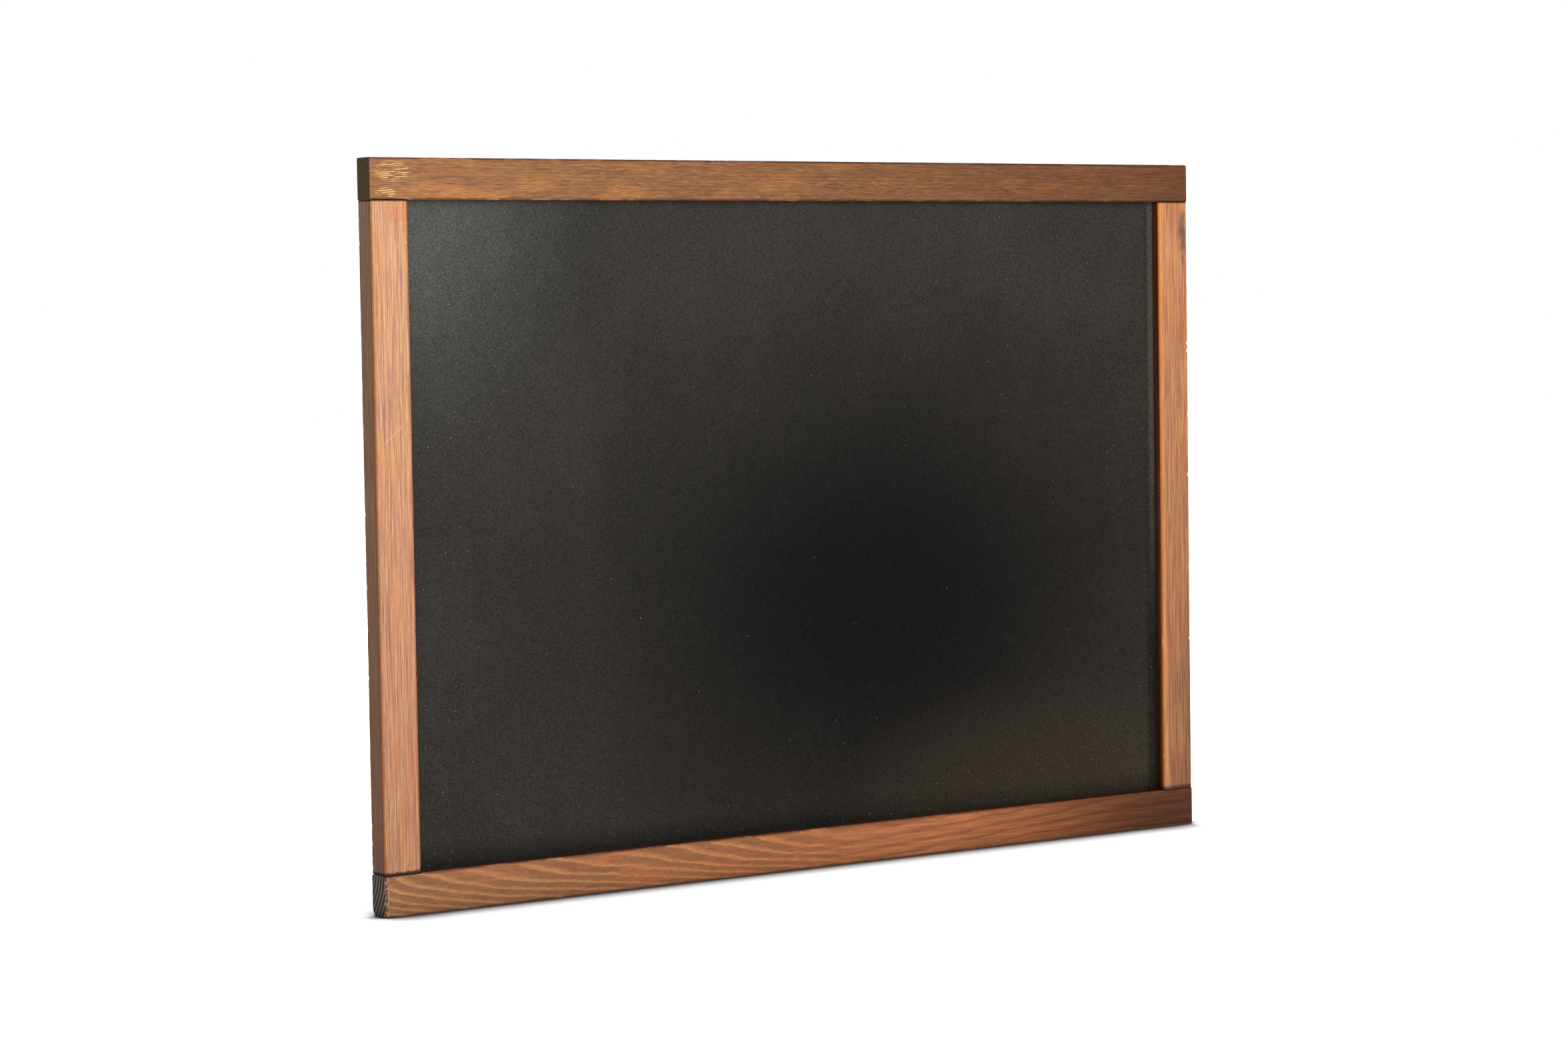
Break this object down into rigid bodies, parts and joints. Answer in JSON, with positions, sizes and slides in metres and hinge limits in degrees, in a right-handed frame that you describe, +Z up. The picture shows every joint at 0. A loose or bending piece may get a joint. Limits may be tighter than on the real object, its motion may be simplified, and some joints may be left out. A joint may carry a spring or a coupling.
{
  "type": "chalkboard",
  "caption": "Wall chalkboard: a black writing panel in a butt-jointed frame of stained pine laths, with strap hangers and D-rings behind.",
  "frame": {"origin": "middle of the top rail's back face, where the board meets the wall", "axes": "+X right as the reader sees the board, +Z up, +Y from the writing face towards the wall"},
  "size_m": [0.7, 0.0211, 0.5],
  "materials": {
    "rail_pine": "pine stained orange-brown, fine straight grain, satin",
    "stile_pine": "pine stained light orange-brown, fine straight grain, satin",
    "dowel_beech": "bare beech",
    "chalk_laminate": "black writing surface, matt with a fine tooth",
    "hardboard": "bare brown hardboard",
    "pin_wire": "bright drawn wire",
    "zinc_steel": "zinc-plated sheet steel",
    "ring_wire": "zinc-plated wire",
    "screw_steel": "zinc-plated screw"
  },
  "bodies": {
    "board": {"top_rail": "rail_pine", "bottom_rail": "rail_pine", "left_stile": "stile_pine", "right_stile": "stile_pine", "dowel_top_left_1": "dowel_beech", "dowel_top_left_2": "dowel_beech", "dowel_top_right_1": "dowel_beech", "dowel_top_right_2": "dowel_beech", "dowel_bottom_left_1": "dowel_beech", "dowel_bottom_left_2": "dowel_beech", "dowel_bottom_right_1": "dowel_beech", "dowel_bottom_right_2": "dowel_beech", "chalk_laminate": "chalk_laminate", "panel_core": "hardboard", "panel_pin_top_1": "pin_wire", "panel_pin_top_2": "pin_wire", "panel_pin_top_3": "pin_wire", "panel_pin_top_4": "pin_wire", "panel_pin_bottom_1": "pin_wire", "panel_pin_bottom_2": "pin_wire", "panel_pin_bottom_3": "pin_wire", "panel_pin_bottom_4": "pin_wire", "panel_pin_left_1": "pin_wire", "panel_pin_left_2": "pin_wire", "panel_pin_left_3": "pin_wire", "panel_pin_right_1": "pin_wire", "panel_pin_right_2": "pin_wire", "panel_pin_right_3": "pin_wire", "left_hanger_strap": "zinc_steel", "left_hanger_screw_1": "screw_steel", "left_hanger_screw_2": "screw_steel", "right_hanger_strap": "zinc_steel", "right_hanger_screw_1": "screw_steel", "right_hanger_screw_2": "screw_steel"},
    "left_ring": {"left_d_ring": "ring_wire"},
    "right_ring": {"right_d_ring": "ring_wire"}
  },
  "joints": [
    {"name": "left_ring_swing", "type": "hinge", "parent": "board", "child": "left_ring", "pos_m": [-0.34, 0.00205, -0.056], "axis": [1, 0, 0], "range_deg": [0, 180]},
    {"name": "right_ring_swing", "type": "hinge", "parent": "board", "child": "right_ring", "pos_m": [0.34, 0.00205, -0.056], "axis": [1, 0, 0], "range_deg": [0, 180]}
  ]
}
